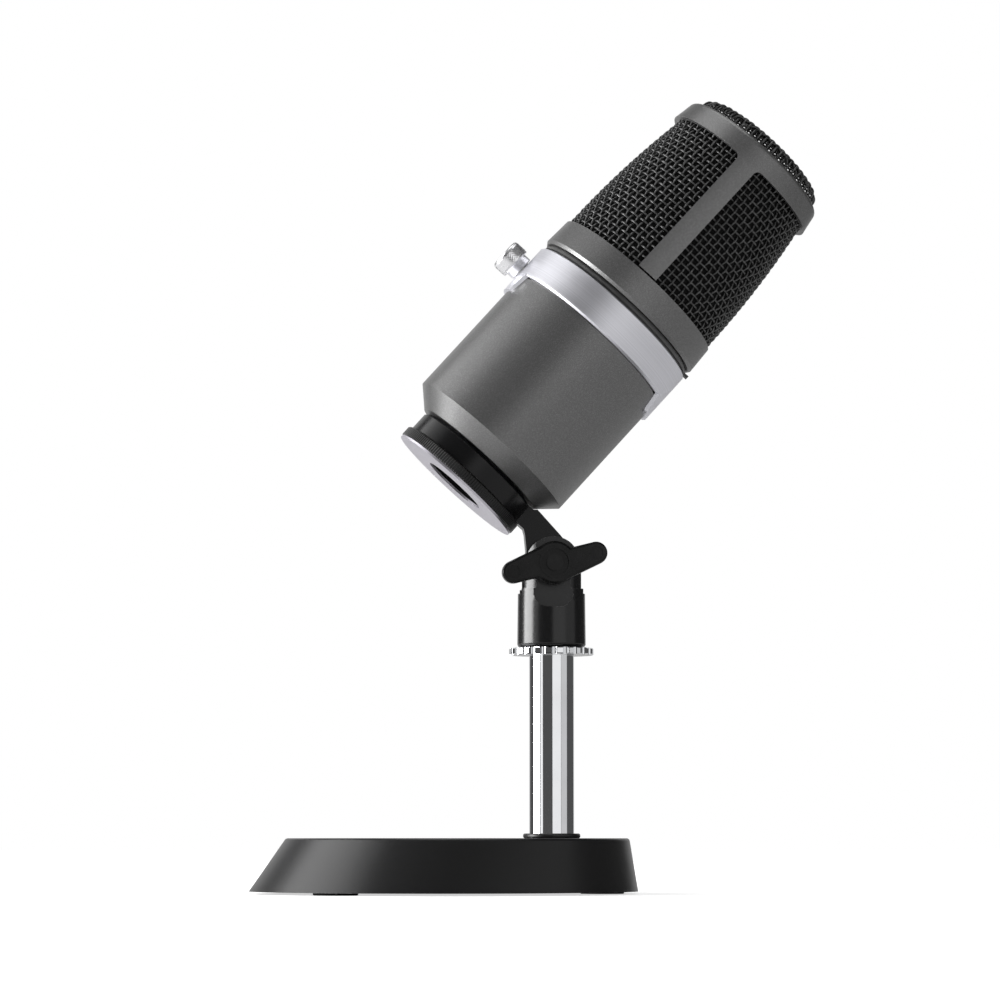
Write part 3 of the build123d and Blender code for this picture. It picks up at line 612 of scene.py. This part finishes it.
def top_weave(bm):
    """Two crossing sets of wires over the crown, bent down at its rim."""
    low, high, radius_at = outer_profile("top_mesh")
    middle = WIRE_R + WEAVE_SWING
    top = high - middle
    radius = radius_at(low) - middle
    flat_r = radius - CROWN_EDGE * (1 - sin(CROWN_SLOPE))
    rise = flat_r * (1 - cos(CROWN_SLOPE)) / sin(CROWN_SLOPE)
    ball = flat_r / sin(CROWN_SLOPE)
    shoulder = top - rise - CROWN_EDGE * cos(CROWN_SLOPE)

    def crown(r):
        """Height of the crown's section at a radius, and how far its normal leans out."""
        if r <= flat_r:
            lean = r / ball
            return top - ball * (1 - sqrt(1 - lean * lean)), lean
        lean = min(1.0, (r - radius + CROWN_EDGE) / CROWN_EDGE)
        return shoulder + CROWN_EDGE * sqrt(1 - lean * lean), lean

    count = int(radius / WIRE_PITCH)
    shortest = 0.5 * MM
    for crossing in (False, True):
        for i in range(-count, count + 1):
            offset = WIRE_PITCH * (i + (0.5 if crossing else 0.0))
            if abs(offset) > radius - shortest:
                continue
            half = sqrt(radius**2 - offset**2)
            steps = max(8, int(2 * half / WIRE_PITCH * STEPS))
            points = []
            for k in range(steps + 1):
                along = -half * cos(pi * k / steps)
                height, lean = crown(min(radius, sqrt(along**2 + offset**2)))
                phase = along / WIRE_PITCH + i + (0.0 if crossing else 0.5)
                flat = Vector((offset, along, 0)) if crossing else Vector((along, offset, 0))
                normal = flat.normalized() * lean + Vector((0, 0, sqrt(1 - lean * lean)))
                swing = WEAVE_SWING * cos(pi * phase)
                points.append(Vector((flat.x, flat.y, height)) + normal * swing)
            feet = [Vector((p.x, p.y, low + WIRE_R)) for p in (points[0], points[-1])]
            add_wire(bm, [feet[0]] + points + [feet[1]], WIRE_R)


new_piece("woven_side_grille", side_weave, MESH_WIRE, "microphone", ["side_mesh"],
          mic_matrix())
new_piece("woven_top_grille", top_weave, MESH_WIRE, "microphone", ["top_mesh"],
          mic_matrix())


# ---------------------------------------------------------------- volume knob

KNOB_AROUND = 144          # points round the knob
KNOB_RIDGES = 36
SKIRT_ROWS = 16
KNURL_DEPTH = 0.18 * MM
NECK_LENGTH = 2.8 * MM
NECK_SHARE = 0.77          # the neck's radius as a share of the knob's
DISH_DEPTH = 0.35 * MM


def knurled_knob(bm):
    """A turned knob with a diamond-knurled skirt, a neck below it and a dished outer face."""
    mesh = frame["nodes"]["volume_knob"].data
    spots = [Vector(v.co) - VOLUME_POINT for v in mesh.vertices]
    heights = [s.dot(VOLUME_AXIS) for s in spots]
    outer = max((s - VOLUME_AXIS * h).length for s, h in zip(spots, heights))
    near, far = min(heights), max(heights)
    neck_top, neck = near + NECK_LENGTH, outer * NECK_SHARE
    skirt_low, skirt_high = neck_top + 0.9 * MM, far - 1.15 * MM
    pitch = 2 * pi * outer / KNOB_RIDGES

    def knurled(k, height):
        """Radius of the skirt, which two crossing sets of ridges share."""
        share, climb = KNOB_RIDGES * k / KNOB_AROUND, (height - skirt_low) / pitch
        first = abs(2 * ((share + climb) % 1.0) - 1)
        second = abs(2 * ((share - climb) % 1.0) - 1)
        return outer - KNURL_DEPTH * (1 - min(first, second) ** 0.8)

    neck_and_lip = [
        (0.0, near), (neck - 0.25 * MM, near), (neck, near + 0.25 * MM),
        (neck, neck_top - 0.1 * MM), (neck + 0.1 * MM, neck_top),
        (outer - 0.45 * MM, neck_top), (outer - 0.15 * MM, neck_top + 0.15 * MM),
        (outer - 0.1 * MM, neck_top + 0.5 * MM), (outer - KNURL_DEPTH, skirt_low - 0.1 * MM),
    ]
    skirt = [(None, skirt_low + (skirt_high - skirt_low) * k / SKIRT_ROWS)
             for k in range(SKIRT_ROWS + 1)]
    face = [
        (outer - KNURL_DEPTH, skirt_high + 0.1 * MM), (outer - 0.1 * MM, skirt_high + 0.45 * MM),
        (outer - 0.15 * MM, far - 0.55 * MM), (outer - 0.65 * MM, far),
        (outer - 1.15 * MM, far), (outer - 1.35 * MM, far - DISH_DEPTH), (0.0, far - DISH_DEPTH),
    ]
    rings = []
    for radius, height in neck_and_lip + skirt + face:
        ring = []
        for k in range(1 if radius == 0.0 else KNOB_AROUND):
            angle = 2 * pi * k / KNOB_AROUND
            r = knurled(k, height) if radius is None else radius
            ring.append(bm.verts.new((r * cos(angle), r * sin(angle), height)))
        rings.append(ring)
    for low, high in zip(rings, rings[1:]):
        for k in range(KNOB_AROUND):
            corners = [low[k % len(low)], low[(k + 1) % len(low)],
                       high[(k + 1) % len(high)], high[k % len(high)]]
            unique = [c for n, c in enumerate(corners) if c not in corners[:n]]
            bm.faces.new(unique)


new_piece("knurled_volume_knob", knurled_knob, KNOB_CHROME, "volume_knob", ["volume_knob"],
          volume_matrix())


# ================================================================ studio

LIGHTS_AIM = Vector((0, 0, 0.14))
TABLE_REACH = 6.0


def area_light(name, azimuth, distance, height, size, brightness):
    """A soft box aimed at the microphone: azimuth 0 is in front (-Y), positive towards +X."""
    data = bpy.data.lights.new(name, "AREA")
    data.shape = "RECTANGLE"
    data.size, data.size_y = size
    data.energy = brightness * pi * size[0] * size[1]
    light = bpy.data.objects.new(name, data)
    a = radians(azimuth)
    light.location = (distance * sin(a), -distance * cos(a), height)
    direction = LIGHTS_AIM - light.location
    light.rotation_euler = direction.to_track_quat("-Z", "Y").to_euler()
    light.visible_camera = False
    bpy.context.scene.collection.objects.link(light)


def studio():
    world = bpy.data.worlds.new("studio_air")
    bpy.context.scene.world = world
    world.use_nodes = True
    tree = world.node_tree
    tree.nodes.clear()
    seen = put(tree, "ShaderNodeBackground", {"Color": (1, 1, 1, 1), "Strength": 1.0})
    fill = put(tree, "ShaderNodeBackground", {"Color": (1, 1, 1, 1), "Strength": 0.08})
    path = put(tree, "ShaderNodeLightPath")
    mixed = put(tree, "ShaderNodeMixShader",
                {0: path.outputs["Is Camera Ray"], 1: fill.outputs[0], 2: seen.outputs[0]})
    link(tree, mixed.outputs[0], put(tree, "ShaderNodeOutputWorld").inputs[0])

    floor_mesh = bpy.data.meshes.new("table_top")
    corners = [(x * TABLE_REACH, y * TABLE_REACH, 0) for x, y in ((-1, -1), (1, -1), (1, 1), (-1, 1))]
    floor_mesh.from_pydata(corners, [], [(0, 1, 2, 3)])
    table = bpy.data.objects.new("table_top", floor_mesh)
    bpy.context.scene.collection.objects.link(table)
    material, tree, shader = start_material("pale_table", Roughness=0.9, Specular_IOR_Level=0.0)
    place = put(tree, "ShaderNodeTexCoord").outputs["Object"]
    cloud = put(tree, "ShaderNodeTexNoise", {"Vector": place, "Scale": 2.0})
    tone = ramp(tree, cloud.outputs["Fac"], [(0.3, 0.78), (0.7, 0.8)])
    link(tree, tone, shader.inputs["Base Color"])
    shader.inputs["Emission Color"].default_value = (1, 1, 1, 1)
    # Painted light: for camera rays the table also glows, from 0.62 near the microphone to full white
    # from 0.8 m out, so it reads evenly white out to the horizon
    away = put(tree, "ShaderNodeVectorMath", {0: place}, operation="LENGTH").outputs["Value"]
    painted_table_glow = put(tree, "ShaderNodeMapRange",
               {"Value": away, "From Min": 0.1, "From Max": 0.8, "To Min": 0.62, "To Max": 1.0})
    seen = put(tree, "ShaderNodeLightPath").outputs["Is Camera Ray"]
    link(tree, math_node(tree, "MULTIPLY", painted_table_glow.outputs["Result"], seen),
         shader.inputs["Emission Strength"])
    floor_mesh.materials.append(material)

    area_light("left_low_box", -90, 1.35, 0.22, (0.95, 0.45), 13)
    area_light("left_high_box", -100, 1.35, 0.95, (1.5, 0.9), 3.2)
    area_light("left_front_panel", -57, 1.35, 0.3, (0.34, 0.7), 0.9)
    area_light("right_panel", 23, 1.7, 0.45, (1.45, 1.2), 0.82)
    area_light("right_far_panel", 64, 1.7, 0.45, (1.1, 1.2), 0.5)
    area_light("backdrop", 178, 2.0, 0.6, (2.4, 1.8), 0.6)
    area_light("overhead", 0, 0.05, 1.5, (1.2, 1.2), 1.8)


# ---------------------------------------------------------------- camera

CAMERA_AZIMUTH = -3.5
CAMERA_DISTANCE = 1.5
CAMERA_HEIGHT = 0.0192
VIEW_WIDTH = 1 / 2.8       # metres across the frame at the pole
SENSOR_WIDTH = 36
AIM_SIDE, AIM_HEIGHT = -0.0184, 0.1405


def camera():
    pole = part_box("pole_tube")
    pole_x = (pole[0].x + pole[1].x) / 2
    a = radians(CAMERA_AZIMUTH)
    sideways = Vector((cos(a), sin(a), 0))
    aim = Vector((pole_x, 0, 0)) + sideways * AIM_SIDE
    place = aim + Vector((sin(a), -cos(a), 0)) * CAMERA_DISTANCE
    place.z = CAMERA_HEIGHT
    aim.z = AIM_HEIGHT
    data = bpy.data.cameras.new("camera")
    data.sensor_width = SENSOR_WIDTH
    data.lens = SENSOR_WIDTH * CAMERA_DISTANCE / VIEW_WIDTH
    data.clip_end = 50
    made = bpy.data.objects.new("camera", data)
    made.location = place
    made.rotation_euler = (aim - place).to_track_quat("-Z", "Y").to_euler()
    bpy.context.scene.collection.objects.link(made)
    bpy.context.scene.camera = made


studio()
camera()
bpy.context.scene.view_settings.view_transform = "Standard"
bpy.context.scene.view_settings.look = "None"
